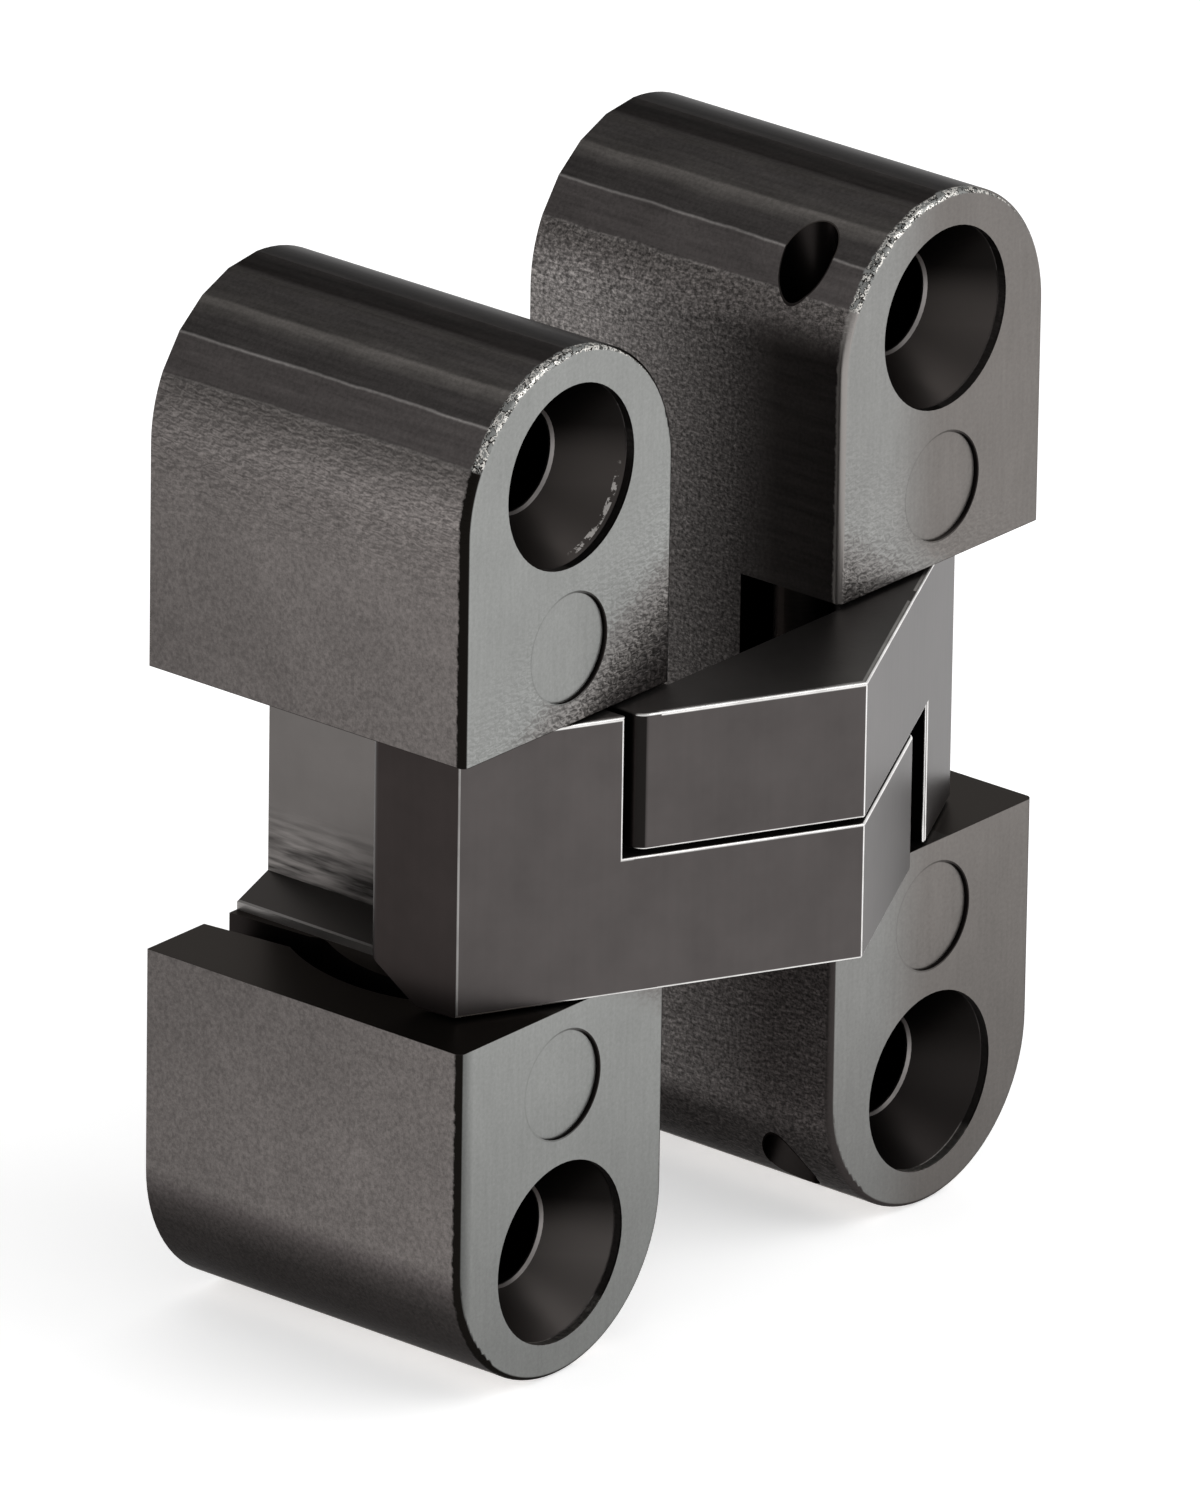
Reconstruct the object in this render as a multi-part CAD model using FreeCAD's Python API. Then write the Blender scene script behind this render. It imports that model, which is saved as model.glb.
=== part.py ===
import FreeCAD, Part
import math
import os

# Concealed invisible door hinge for thin doors, drawn fully open and standing upright.
# X runs from the left leaf to the right leaf, Y goes into the door edge, Z is up along the pins.
# The model is drawn about the middle of the hinge, with both leaf faces in the plane y = 0,
# and is moved at the end so that its origin is on the floor below the middle of its box.
# All sizes are in millimetres and all angles in degrees.

Vector = FreeCAD.Vector

# Leaf castings
leaf_width = 13.0
leaf_height = 45.0
leaf_depth = 16.8
open_gap = 10.9
closed_gap = 3.0
rim_round = 0.3
strip_start = 27.0
strip_count = 4

# Pocket between the two blocks of a leaf
pocket_half_height = 6.25
web_thickness = 5.45
web_clearance = 0.25
web_corner_round = 0.6
ledge_start = 9.2
ledge_high = 1.15
ledge_low = 0.35

# Countersunk screw holes
screw_from_end = 5.45
screw_hole_radius = 2.25
head_radius = 3.95
head_rim = 0.4
cone_depth = 2.6

# Round casting marks on the faces
mark_height = 9.6
mark_radius = 2.35
mark_depth = 0.15

# Pins and their places
pivot_inset = 1.72
pivot_y = 3.4
pivot_pin_radius = 1.2
pivot_pin_recess = 5.0
crossing_y = -2.7
centre_pin_radius = 1.2
centre_pin_cover = 1.5
slide_offset = 0.55
slide_y = 3.0
slide_pin_radius = 0.7
slide_clearance = 0.12
slide_end_clearance = 0.2
groove_depth = 1.5
groove_exit_offset = 2.25
running_clearance = 0.05

# Crossing links
ridge_reach = 5.9
roof_slope = 27.5
link_clearance = 0.15
lap_gap = 0.25
knuckle_wall = 0.4
arm_end_wall = 1.73
arm_corner_round = 0.7
left_notch_gap = 0.5
right_notch_gap = 2.4
pin_pass_clearance = 0.4
tail_wall = 3.4
tail_lean = 0.35
tail_depth = 4.0
tail_corner_round = 0.4
tail_chamfer_run = 2.4
tail_chamfer_rise = 1.9
link_edge_round = 0.12

# Values that follow from the sizes above
half_gap = open_gap / 2
half_height = leaf_height / 2
end_radius = leaf_width / 2
leaf_x = half_gap + end_radius
outer_x = half_gap + leaf_width
pivot_x = half_gap + pivot_inset
slide_x = leaf_x + slide_offset
screw_z = half_height - screw_from_end
link_half_height = pocket_half_height - link_clearance
lap_half_gap = lap_gap / 2
knuckle_radius = pivot_pin_radius + running_clearance + knuckle_wall
groove_half_width = slide_pin_radius + slide_clearance
arm_end_x = pivot_x + arm_end_wall
beyond = 1.0
near = 0.01
small_share = 0.001
sharp_turn = math.radians(5)
groove_points = 12


def roof_y(x):
    return -ridge_reach + abs(x) * math.tan(math.radians(roof_slope))


# Folding of the left half: the crossing swings about the left pivot pin, and the left link
# turns with it at a constant ratio, so that both leaves end face to face
pivot = Vector(-pivot_x, pivot_y, 0)
crossing_open = Vector(0, crossing_y, 0)
slide_open = Vector(-slide_x, slide_y, 0)
crossing_arm = (crossing_open - pivot).Length
closed_side = pivot_y + closed_gap / 2
crossing_closed = Vector(-pivot_x - math.sqrt(crossing_arm ** 2 - closed_side ** 2), -closed_gap / 2, 0)


def heading(start, end):
    return math.degrees(math.atan2(end.y - start.y, end.x - start.x)) % 360


def turned(point, centre, angle):
    spin = FreeCAD.Rotation(Vector(0, 0, 1), angle)
    return centre + spin.multVec(point - centre)


arm_turn = heading(pivot, crossing_open) - heading(pivot, crossing_closed)
link_turn = 180 - arm_turn


def slide_place(share):
    crossing = turned(crossing_open, pivot, -arm_turn * share)
    return crossing + turned(slide_open - crossing_open, Vector(0, 0, 0), -link_turn * share)


# Building blocks
def prism(points, low, high):
    corners = [Vector(x, y, low) for x, y in points]
    outline = Part.makePolygon(corners + corners[:1])
    return Part.Face(outline).extrude(Vector(0, 0, high - low))


def upright(radius, place, low, high):
    return Part.makeCylinder(radius, high - low, Vector(place.x, place.y, low))


def crossways(radius, x, z, start, length):
    return Part.makeCylinder(radius, length, Vector(x, start, z), Vector(0, 1, 0))


def round_uprights(shape, radius, places):
    chosen = []
    for edge in shape.Edges:
        ends = [vertex.Point for vertex in edge.Vertexes]
        if len(ends) != 2 or abs(ends[0].z - ends[1].z) < lap_gap:
            continue
        if math.hypot(ends[0].x - ends[1].x, ends[0].y - ends[1].y) > near:
            continue
        if any(math.hypot(ends[0].x - x, ends[0].y - y) < near for x, y in places):
            chosen.append(edge)
    return shape.makeFillet(radius, chosen)


def meet(start, direction, along_x=None, along_y=None):
    if along_x is not None:
        reach = (along_x - start.x) / direction.x
    else:
        reach = (along_y - start.y) / direction.y
    return start + direction * reach


def other_side(shape):
    return shape.rotated(Vector(0, 0, 0), Vector(0, 1, 0), 180)


# Leaf casting
def on_arc(side, angle):
    across = end_radius * math.cos(math.radians(angle)) * side
    up = end_radius * math.sin(math.radians(angle))
    return Vector(-leaf_x + across, 0, half_height - end_radius + up)


# The upper arc has narrow flat strips on one side, from strip_start up to the top
def leaf_outline(strip_side):
    corners = []
    for number in range(strip_count + 1):
        corners.append(on_arc(strip_side, strip_start + (90 - strip_start) * number / strip_count))
    strip_foot = on_arc(strip_side, 0)
    smooth_foot = on_arc(-strip_side, 0)
    lower_strip_foot = Vector(strip_foot.x, 0, -strip_foot.z)
    lower_smooth_foot = Vector(smooth_foot.x, 0, -smooth_foot.z)
    lowest = Vector(-leaf_x, 0, -half_height)
    curves = [
        Part.Arc(lower_smooth_foot, lowest, lower_strip_foot),
        Part.LineSegment(lower_strip_foot, strip_foot),
        Part.Arc(strip_foot, on_arc(strip_side, strip_start / 2), corners[0]),
    ]
    for start, end in zip(corners, corners[1:]):
        curves.append(Part.LineSegment(start, end))
    curves.append(Part.Arc(corners[-1], on_arc(-strip_side, strip_start), smooth_foot))
    curves.append(Part.LineSegment(smooth_foot, lower_smooth_foot))
    return Part.Wire([curve.toShape() for curve in curves])


def leaf_block(strip_side):
    block = Part.Face(leaf_outline(strip_side)).extrude(Vector(0, leaf_depth, 0))
    rim = []
    for edge in block.Edges:
        if all(abs(vertex.Point.y) < near for vertex in edge.Vertexes):
            rim.append(edge)
    return block.makeFillet(rim_round, rim)


def pocket_cut():
    corner = Vector(-arm_end_x, roof_y(arm_end_x), 0)
    closed_corner = turned(corner, pivot, -arm_turn)
    span = corner - pivot
    tangent = math.degrees(math.asin(knuckle_radius / span.Length))
    along = heading(pivot, closed_corner) + tangent
    direction = Vector(math.cos(math.radians(along)), math.sin(math.radians(along)), 0)
    behind = Vector(direction.y, -direction.x, 0)
    if behind.y < 0:
        behind = behind * -1
    on_slope = pivot + behind * (knuckle_radius + web_clearance)
    front_y = pivot_y + knuckle_radius + web_clearance
    web_x = -half_gap - web_thickness
    slope_front = meet(on_slope, direction, along_y=front_y)
    slope_back = meet(on_slope, direction, along_x=web_x)
    outline = [
        (-half_gap + beyond, -beyond),
        (-half_gap + beyond, front_y),
        (slope_front.x, front_y),
        (web_x, slope_back.y),
        (web_x, leaf_depth + beyond),
        (-outer_x - beyond, leaf_depth + beyond),
        (-outer_x - beyond, -beyond),
    ]
    cut = prism(outline, -pocket_half_height, pocket_half_height)
    return round_uprights(cut, web_corner_round, [(web_x, slope_back.y)])


def ledge(side):
    web_x = -half_gap - web_thickness
    end_x = slide_place(1).x + groove_half_width + running_clearance
    wall_z = pocket_half_height * side
    corners = [
        Vector(web_x, ledge_start, wall_z),
        Vector(web_x, ledge_start, wall_z - ledge_high * side),
        Vector(end_x, ledge_start, wall_z - ledge_low * side),
        Vector(end_x, ledge_start, wall_z),
    ]
    face = Part.Face(Part.makePolygon(corners + corners[:1]))
    return face.extrude(Vector(0, leaf_depth - ledge_start, 0))


def groove_cut():
    reach = pocket_half_height + groove_depth
    sides = {1: [], -1: []}
    for number in range(groove_points + 1):
        share = number / groove_points
        here = slide_place(share)
        ahead = slide_place(share + small_share) - slide_place(share - small_share)
        ahead.normalize()
        for side in sides:
            sides[side].append(here + Vector(-ahead.y, ahead.x, 0) * groove_half_width * side)
    exit_x = -leaf_x - groove_exit_offset
    exit_y = leaf_depth + beyond
    first = slide_place(small_share) - slide_place(0)
    first.normalize()
    edges = []
    back = slide_place(0) - first * groove_half_width
    edges.append(Part.Arc(sides[1][0], back, sides[-1][0]).toShape())
    for side in sides:
        curve = Part.BSplineCurve()
        curve.interpolate(sides[side])
        edges.append(curve.toShape())
    left_exit = Vector(exit_x - groove_half_width, exit_y, 0)
    right_exit = Vector(exit_x + groove_half_width, exit_y, 0)
    edges.append(Part.LineSegment(sides[1][-1], left_exit).toShape())
    edges.append(Part.LineSegment(left_exit, right_exit).toShape())
    edges.append(Part.LineSegment(right_exit, sides[-1][-1]).toShape())
    outline = Part.Wire(Part.__sortEdges__(edges))
    outline.translate(Vector(0, 0, -reach))
    cut = Part.Face(outline).extrude(Vector(0, 0, 2 * reach))
    seat = upright(groove_half_width, slide_place(1), -reach, reach)
    return cut.fuse(seat)


def screw_hole_cut(z):
    hole = crossways(screw_hole_radius, -leaf_x, z, -beyond, leaf_depth + 2 * beyond)
    rim = crossways(head_radius, -leaf_x, z, -beyond, head_rim + beyond)
    start = Vector(-leaf_x, head_rim, z)
    cone = Part.makeCone(head_radius, screw_hole_radius, cone_depth, start, Vector(0, 1, 0))
    return hole.fuse([rim, cone])


def leaf(strip_side, ledge_side):
    body = leaf_block(strip_side).cut(pocket_cut()).fuse(ledge(ledge_side))
    cuts = [groove_cut(), upright(pivot_pin_radius, pivot, -half_height, half_height)]
    for side in (-1, 1):
        cuts.append(screw_hole_cut(screw_z * side))
        cuts.append(crossways(mark_radius, -leaf_x, mark_height * side, -beyond, beyond + mark_depth))
    return body.cut(cuts).removeSplitter()


# Crossing link with its root in the left leaf and its half-height arm on the right pivot pin
def link(notch_gap, centre_bore_radius):
    step_x = arm_end_x + notch_gap
    tail_x = slide_x + tail_wall
    tail_y = slide_y + tail_depth
    rear_fall = math.tan(math.radians(90 - link_turn))
    root_rear_y = tail_y - (tail_x + tail_lean - step_x) * rear_fall
    root = [
        (-step_x, roof_y(step_x)),
        (-tail_x, roof_y(tail_x)),
        (-tail_x - tail_lean, tail_y),
        (-step_x, root_rear_y),
    ]
    pass_y = pivot_y - pivot_pin_radius - pin_pass_clearance
    arm = [
        (-step_x, roof_y(step_x)),
        (0, -ridge_reach),
        (arm_end_x, roof_y(arm_end_x)),
        (pivot_x + knuckle_radius, pivot_y),
        (pivot_x - knuckle_radius, pivot_y),
        (pivot_x - knuckle_radius, 0),
        (-half_gap, 0),
        (-half_gap - pass_y, pass_y),
        (-step_x, pass_y),
    ]
    root_shape = prism(root, -link_half_height, link_half_height)
    root_shape = round_uprights(root_shape, tail_corner_round, [(-tail_x - tail_lean, tail_y)])
    root_shape = root_shape.cut(tail_chamfer(tail_x, tail_y, rear_fall))
    arm_shape = prism(arm, -link_half_height, -lap_half_gap)
    arm_shape = round_uprights(arm_shape, arm_corner_round, [(arm_end_x, roof_y(arm_end_x))])
    knuckle = upright(knuckle_radius, Vector(pivot_x, pivot_y, 0), -link_half_height, -lap_half_gap)
    body = root_shape.fuse([arm_shape, knuckle]).removeSplitter()
    body = body.makeFillet(link_edge_round, front_edges(body))
    bore_top = link_half_height + beyond
    body = body.cut(upright(pivot_pin_radius + running_clearance, Vector(pivot_x, pivot_y, 0), -bore_top, 0))
    body = body.cut(upright(slide_pin_radius, slide_open, -bore_top, bore_top))
    blind = link_half_height - centre_pin_cover
    body = body.cut(upright(centre_bore_radius, crossing_open, -blind - running_clearance, beyond))
    return body.removeSplitter()


def tail_chamfer(tail_x, tail_y, rear_fall):
    # The wedge is drawn across the lower rear edge of the root, past it on both sides, and swept along it
    along = Vector(1, -rear_fall, 0)
    along.normalize()
    inward = Vector(-rear_fall, -1, 0)
    inward.normalize()
    start = Vector(-tail_x - tail_lean, tail_y, -link_half_height) - along * tail_depth
    rise = Vector(0, 0, tail_chamfer_rise)
    high = start - inward * tail_chamfer_run + rise * 2
    low = start + inward * tail_chamfer_run * 2 - rise
    outer = start - inward * tail_chamfer_run - rise
    wedge = Part.Face(Part.makePolygon([high, low, outer, high]))
    return wedge.extrude(along * (tail_x + tail_depth))


# Sharp straight edges in the two slopes of the link's front, with the ridge between them
def front_edges(body):
    chosen = []
    for edge in body.Edges:
        on_roof = all(abs(vertex.Point.y - roof_y(vertex.Point.x)) < near for vertex in edge.Vertexes)
        if on_roof and edge.Curve.TypeId == "Part::GeomLine" and is_sharp(body, edge):
            chosen.append(edge)
    return chosen


def is_sharp(body, edge):
    middle = edge.valueAt((edge.FirstParameter + edge.LastParameter) / 2)
    normals = []
    for face in body.ancestorsOfType(edge, Part.Face):
        normals.append(face.normalAt(*face.Surface.parameter(middle)))
    return normals[0].getAngle(normals[1]) > sharp_turn


def pivot_pin():
    straight = half_height - end_radius
    end_z = straight + math.sqrt(end_radius ** 2 - (leaf_x - pivot_x) ** 2) - pivot_pin_recess
    return upright(pivot_pin_radius, pivot, -end_z, end_z)


def slide_pin():
    reach = pocket_half_height + groove_depth - slide_end_clearance
    return upright(slide_pin_radius, slide_open, -reach, reach)


def centre_pin():
    reach = link_half_height - centre_pin_cover
    return upright(centre_pin_radius, crossing_open, -reach, reach)


pieces = {
    "left_leaf": leaf(-1, -1),
    "right_leaf": leaf(1, 1).mirror(Vector(0, 0, 0), Vector(1, 0, 0)),
    "left_link": link(left_notch_gap, centre_pin_radius),
    "right_link": other_side(link(right_notch_gap, centre_pin_radius + running_clearance)),
    "left_pivot_pin": pivot_pin(),
    "right_pivot_pin": other_side(pivot_pin()),
    "left_slide_pin": slide_pin(),
    "right_slide_pin": other_side(slide_pin()),
    "centre_pin": centre_pin(),
}

to_floor = Vector(0, (ridge_reach - leaf_depth) / 2, half_height)
os.makedirs("parts", exist_ok=True)
for name, shape in pieces.items():
    shape.translate(to_floor)
    shape.exportStep("parts/" + name + ".step")
    box = shape.optimalBoundingBox(False)
    print(name, shape.isValid(), len(shape.Solids), round(shape.Volume, 2),
          [round(value, 2) for value in (box.XMin, box.XMax, box.YMin, box.YMax, box.ZMin, box.ZMax)])

crossing_ratio = (arm_turn - link_turn) / arm_turn
print("arm turn", round(arm_turn, 4), "crossing ratio", round(crossing_ratio, 6))
for name, place in (("left pivot", pivot), ("crossing", crossing_open)):
    place = place + to_floor
    print(name, round(place.x, 4), round(place.y, 4))
print("slide pin closed", slide_place(1))
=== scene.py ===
import math
from types import SimpleNamespace

import bpy
from mathutils import Matrix, Vector


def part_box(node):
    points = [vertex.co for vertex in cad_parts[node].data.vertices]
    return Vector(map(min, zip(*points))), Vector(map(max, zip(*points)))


# Concealed hinge of zinc die castings, plated with black nickel, fully open and standing upright.
# Everything is in metres. MM turns the millimetres in which the hinge is drawn into metres.
MM = 0.001

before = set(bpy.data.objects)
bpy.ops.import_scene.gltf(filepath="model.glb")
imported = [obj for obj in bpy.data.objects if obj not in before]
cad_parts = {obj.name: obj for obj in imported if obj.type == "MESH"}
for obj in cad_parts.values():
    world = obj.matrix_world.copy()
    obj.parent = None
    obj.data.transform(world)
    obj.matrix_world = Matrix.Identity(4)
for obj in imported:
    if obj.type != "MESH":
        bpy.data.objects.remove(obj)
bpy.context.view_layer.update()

# Places on the hinge in millimetres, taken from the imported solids
LEAF_LOW, LEAF_HIGH = [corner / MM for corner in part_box("left_leaf")]
LINK_LOW, LINK_HIGH = [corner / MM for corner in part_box("left_link")]
PIN_LOW, PIN_HIGH = [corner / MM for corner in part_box("left_pivot_pin")]
OUTER_X = -LEAF_LOW.x
GAP_X = -LEAF_HIGH.x
FACE_Y = LEAF_LOW.y
LEAF_DEPTH = LEAF_HIGH.y - LEAF_LOW.y
MIDDLE_Z = (LEAF_LOW.z + LEAF_HIGH.z) / 2
HALF_HEIGHT = (LEAF_HIGH.z - LEAF_LOW.z) / 2
END_RADIUS = (OUTER_X - GAP_X) / 2
LEAF_X = (OUTER_X + GAP_X) / 2
ARC_Z = HALF_HEIGHT - END_RADIUS
RIDGE_REACH = FACE_Y - LINK_LOW.y
LINK_HALF_HEIGHT = LINK_HIGH.z - MIDDLE_Z
PIVOT_X = -(PIN_LOW.x + PIN_HIGH.x) / 2
PIVOT_DEPTH = (PIN_LOW.y + PIN_HIGH.y) / 2 - FACE_Y

# Sizes of the leaves and links that the finish follows, in millimetres and degrees
SCREW_LEVEL = 17.05
HEAD_RADIUS = 3.95
HOLE_RADIUS = 2.25
PIN_HOLE_RADIUS = 1.25
CONE_END = 3.0
MARK_LEVEL = 9.6
MARK_RADIUS = 2.35
RIM_ROUND = 0.3
POCKET_HALF_HEIGHT = 6.25
WEB_X = 10.9
LEDGE_X = 12.84
GROOVE_LEVEL = 7.75
STRIP_ANGLES = (27.0, 42.75, 58.5, 74.25, 90.0)
ROOF_SLOPE = 27.5
ARM_END_X = 8.9

# Size of each pattern of the finish, in millimetres
MOULD_GRAIN = 0.17
SKIN_WRINKLE = 0.18
STRIP_STREAK = 0.3
GRINDING_LINE = 0.2
CHIP = 0.35
DRAG_MARK = 0.5
CASTING_CLOUD = 3.5
LINK_CLOUD = 4.0
DRAW_LINE = 0.3
HIGHLIGHT_PATCH = 1.5
GRINDING_RING = 0.12

# Where the finish of the leaves changes, in millimetres from the middle, or behind the face for a depth
SHADE_LOW = 6.5
SHADE_HIGH = 13.0
SKIN_LOW = 11.5
SKIN_HIGH = 17.0
SMOOTH_DEPTH = 3.5
GRAIN_DEPTH = 6.0
GAP_PALE_DEPTH = 14.0
FACE_DEPTH = 0.5
RIM_DEPTH = 0.4
DRAG_START = -2.0
DRAG_FULL = -4.5
FACE_SHADE_START = -6.0
FACE_SHADE_FULL = -20.0
EDGE_SHADE_START = -17.6
EDGE_SHADE_FULL = -18.2
RIGHT_SHADE_START = 8.0
RIGHT_SHADE_FULL = 12.0
CORNER_DARK = 10.5
CORNER_CLEAR = 16.5
CORNER_SKIN = 13.0
CORNER_SKIN_END = 21.0
CORNER_RIGHT_SHIFT = 2.6
CORNER_LOWER_SHIFT = 4.0
CONE_DARK_START = -1.5
CONE_DARK_FULL = 1.0

# Half widths of the drawn lines, in millimetres
MARK_LINE = 0.07
BURR_LINE = 0.05
STREAK_LINE = 0.06

# Where the finish of the links changes, in millimetres
ROOF_EDGE_DEPTH = 0.22
TOP_EDGE_DEPTH = 0.12
ROOT_EDGE_X = 14.0
RIDGE_FADE_START = 1.0
RIDGE_FADE_END = 6.0
TOP_FADE_START = -4.0
TOP_FADE_END = 6.0
ARM_END_REACH = 0.5

# How deep the patterns stand in the surface, in millimetres
CAST_RELIEF = 0.03
FINE_RELIEF = 0.01

# Plating colours that several places share; the darkest is painted shade on the arcs' top strips and round
# the casting marks
SIDE_PLATE = "#6b6664"
FACE_PLATE = "#8f908e"
CHIPPED_PLATE = "#8b8c8a"
PAINTED_SHADE_PLATE = "#2a2726"

# Range in which nearly all values of a noise pattern lie, and a tighter one
NOISE_LOW = 0.3
NOISE_HIGH = 0.7
TIGHT_LOW = 0.32
TIGHT_HIGH = 0.68

# Camera of the photograph, in degrees, millimetres and pixels of an image 1500 pixels high
AZIMUTH = -50.4
ELEVATION = 22.3
ROLL = 0.88
DISTANCE = 903.0
IMAGE_HEIGHT = 1500
PIXELS_PER_MM = 24.4
AIM_ASIDE = -6.3
AIM_UP = 1.3
SENSOR = 36.0


def linear(code, alpha=1.0):
    """Turns an sRGB hex colour into the linear values that shaders use."""
    shares = [int(code[at:at + 2], 16) / 255 for at in (1, 3, 5)]
    return [s / 12.92 if s <= 0.04045 else ((s + 0.055) / 1.055) ** 2.4 for s in shares] + [alpha]


def add(tree, kind, inputs=None, output=0, **settings):
    """Adds a node with its settings, values and links, and returns one of its output sockets."""
    node = tree.nodes.new(kind)
    for name, value in settings.items():
        setattr(node, name, value)
    for socket, value in (inputs or {}).items():
        if isinstance(value, bpy.types.NodeSocket):
            tree.links.new(value, node.inputs[socket])
        else:
            node.inputs[socket].default_value = value
    return node.outputs[output] if node.outputs else None


def new_tree(name):
    """Makes a material with an empty tree of nodes, and returns both."""
    material = bpy.data.materials.new(name)
    material.use_nodes = True
    material.node_tree.nodes.clear()
    return material, material.node_tree


def hinge_places(tree):
    """Returns places in millimetres from the middle of the face plane, their sizes, and where the surface
    faces there, with and without its signs."""
    metres = add(tree, "ShaderNodeTexCoord", output="Object")
    millimetres = add(tree, "ShaderNodeVectorMath", {0: metres, 3: 1 / MM}, operation="SCALE")
    place = add(tree, "ShaderNodeVectorMath", {
        0: millimetres, 1: (0, FACE_Y, MIDDLE_Z)}, operation="SUBTRACT")
    size = add(tree, "ShaderNodeVectorMath", {0: place}, operation="ABSOLUTE")
    facing = add(tree, "ShaderNodeTexCoord", output="Normal")
    lean = add(tree, "ShaderNodeVectorMath", {0: facing}, operation="ABSOLUTE")
    return place, size, facing, lean


def put_stops(ramp, stops):
    """Puts colours at places from 0 to 1 on a colour ramp."""
    elements = ramp.node.color_ramp.elements
    elements[0].position, elements[0].color = stops[0][0], linear(stops[0][1])
    elements[1].position, elements[1].color = stops[-1][0], linear(stops[-1][1])
    for position, code in stops[1:-1]:
        elements.new(position).color = linear(code)


def grain_patterns(tree, at):
    """Mould grain, leathery wrinkles and clouds of the plating bath; the clouds' tone also carries painted
    shade towards the middle by the pocket, and is darker towards the back.
    """
    at.grain = add(tree, "ShaderNodeTexNoise", {
        "Vector": at.place, "Scale": 1 / MOULD_GRAIN, "Detail": 3.0, "Roughness": 0.7})
    at.cloud = add(tree, "ShaderNodeTexNoise", {
        "Vector": at.place, "Scale": 1 / CASTING_CLOUD, "Detail": 4.0, "Roughness": 0.6})
    drawn = add(tree, "ShaderNodeVectorMath", {0: at.place, 1: (0.6, 0.4, 1.0)}, operation="MULTIPLY")
    at.wrinkle = add(tree, "ShaderNodeTexNoise", {
        "Vector": drawn, "Scale": 1 / SKIN_WRINKLE, "Detail": 2.0, "Roughness": 0.5, "Distortion": 0.6})

    # The wrinkles less a copy of them shifted a little: painted light and shade, which gives each one a
    # bright side and a dark side
    shifted = add(tree, "ShaderNodeVectorMath", {0: drawn, 1: (0.02, 0.015, 0.045)}, operation="SUBTRACT")
    crest = add(tree, "ShaderNodeTexNoise", {
        "Vector": shifted, "Scale": 1 / SKIN_WRINKLE, "Detail": 2.0, "Roughness": 0.5, "Distortion": 0.6})
    crest = add(tree, "ShaderNodeMath", {0: at.wrinkle, 1: crest}, operation="SUBTRACT")
    at.crest_light = add(tree, "ShaderNodeMapRange", {0: crest, 1: -0.09, 2: 0.09, 3: 0.55, 4: 1.5})
    at.side_light = add(tree, "ShaderNodeMapRange", {0: crest, 1: -0.09, 2: 0.09, 3: 0.78, 4: 1.25})
    grain_tone = add(tree, "ShaderNodeMapRange", {0: at.grain, 1: TIGHT_LOW, 2: TIGHT_HIGH, 3: 0.72, 4: 1.26})
    at.cloud_tone = add(tree, "ShaderNodeMapRange", {
        0: at.cloud, 1: NOISE_LOW, 2: NOISE_HIGH, 3: 0.93, 4: 1.07})
    # Darker towards the back
    back_tone = add(tree, "ShaderNodeMapRange", {0: at.depth, 1: 0.0, 2: LEAF_DEPTH, 3: 1.13, 4: 0.9})
    at.cloud_tone = add(tree, "ShaderNodeMath", {0: at.cloud_tone, 1: back_tone}, operation="MULTIPLY")
    # Painted shade: darker towards the middle, by the pocket
    pocket_painted_shade = add(tree, "ShaderNodeMapRange", {0: at.height, 1: SHADE_LOW, 2: SHADE_HIGH, 3: 0.86, 4: 0.98})
    at.cloud_tone = add(tree, "ShaderNodeMath", {0: at.cloud_tone, 1: pocket_painted_shade}, operation="MULTIPLY")
    at.side_tone = add(tree, "ShaderNodeMath", {0: grain_tone, 1: at.cloud_tone}, operation="MULTIPLY")


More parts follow.
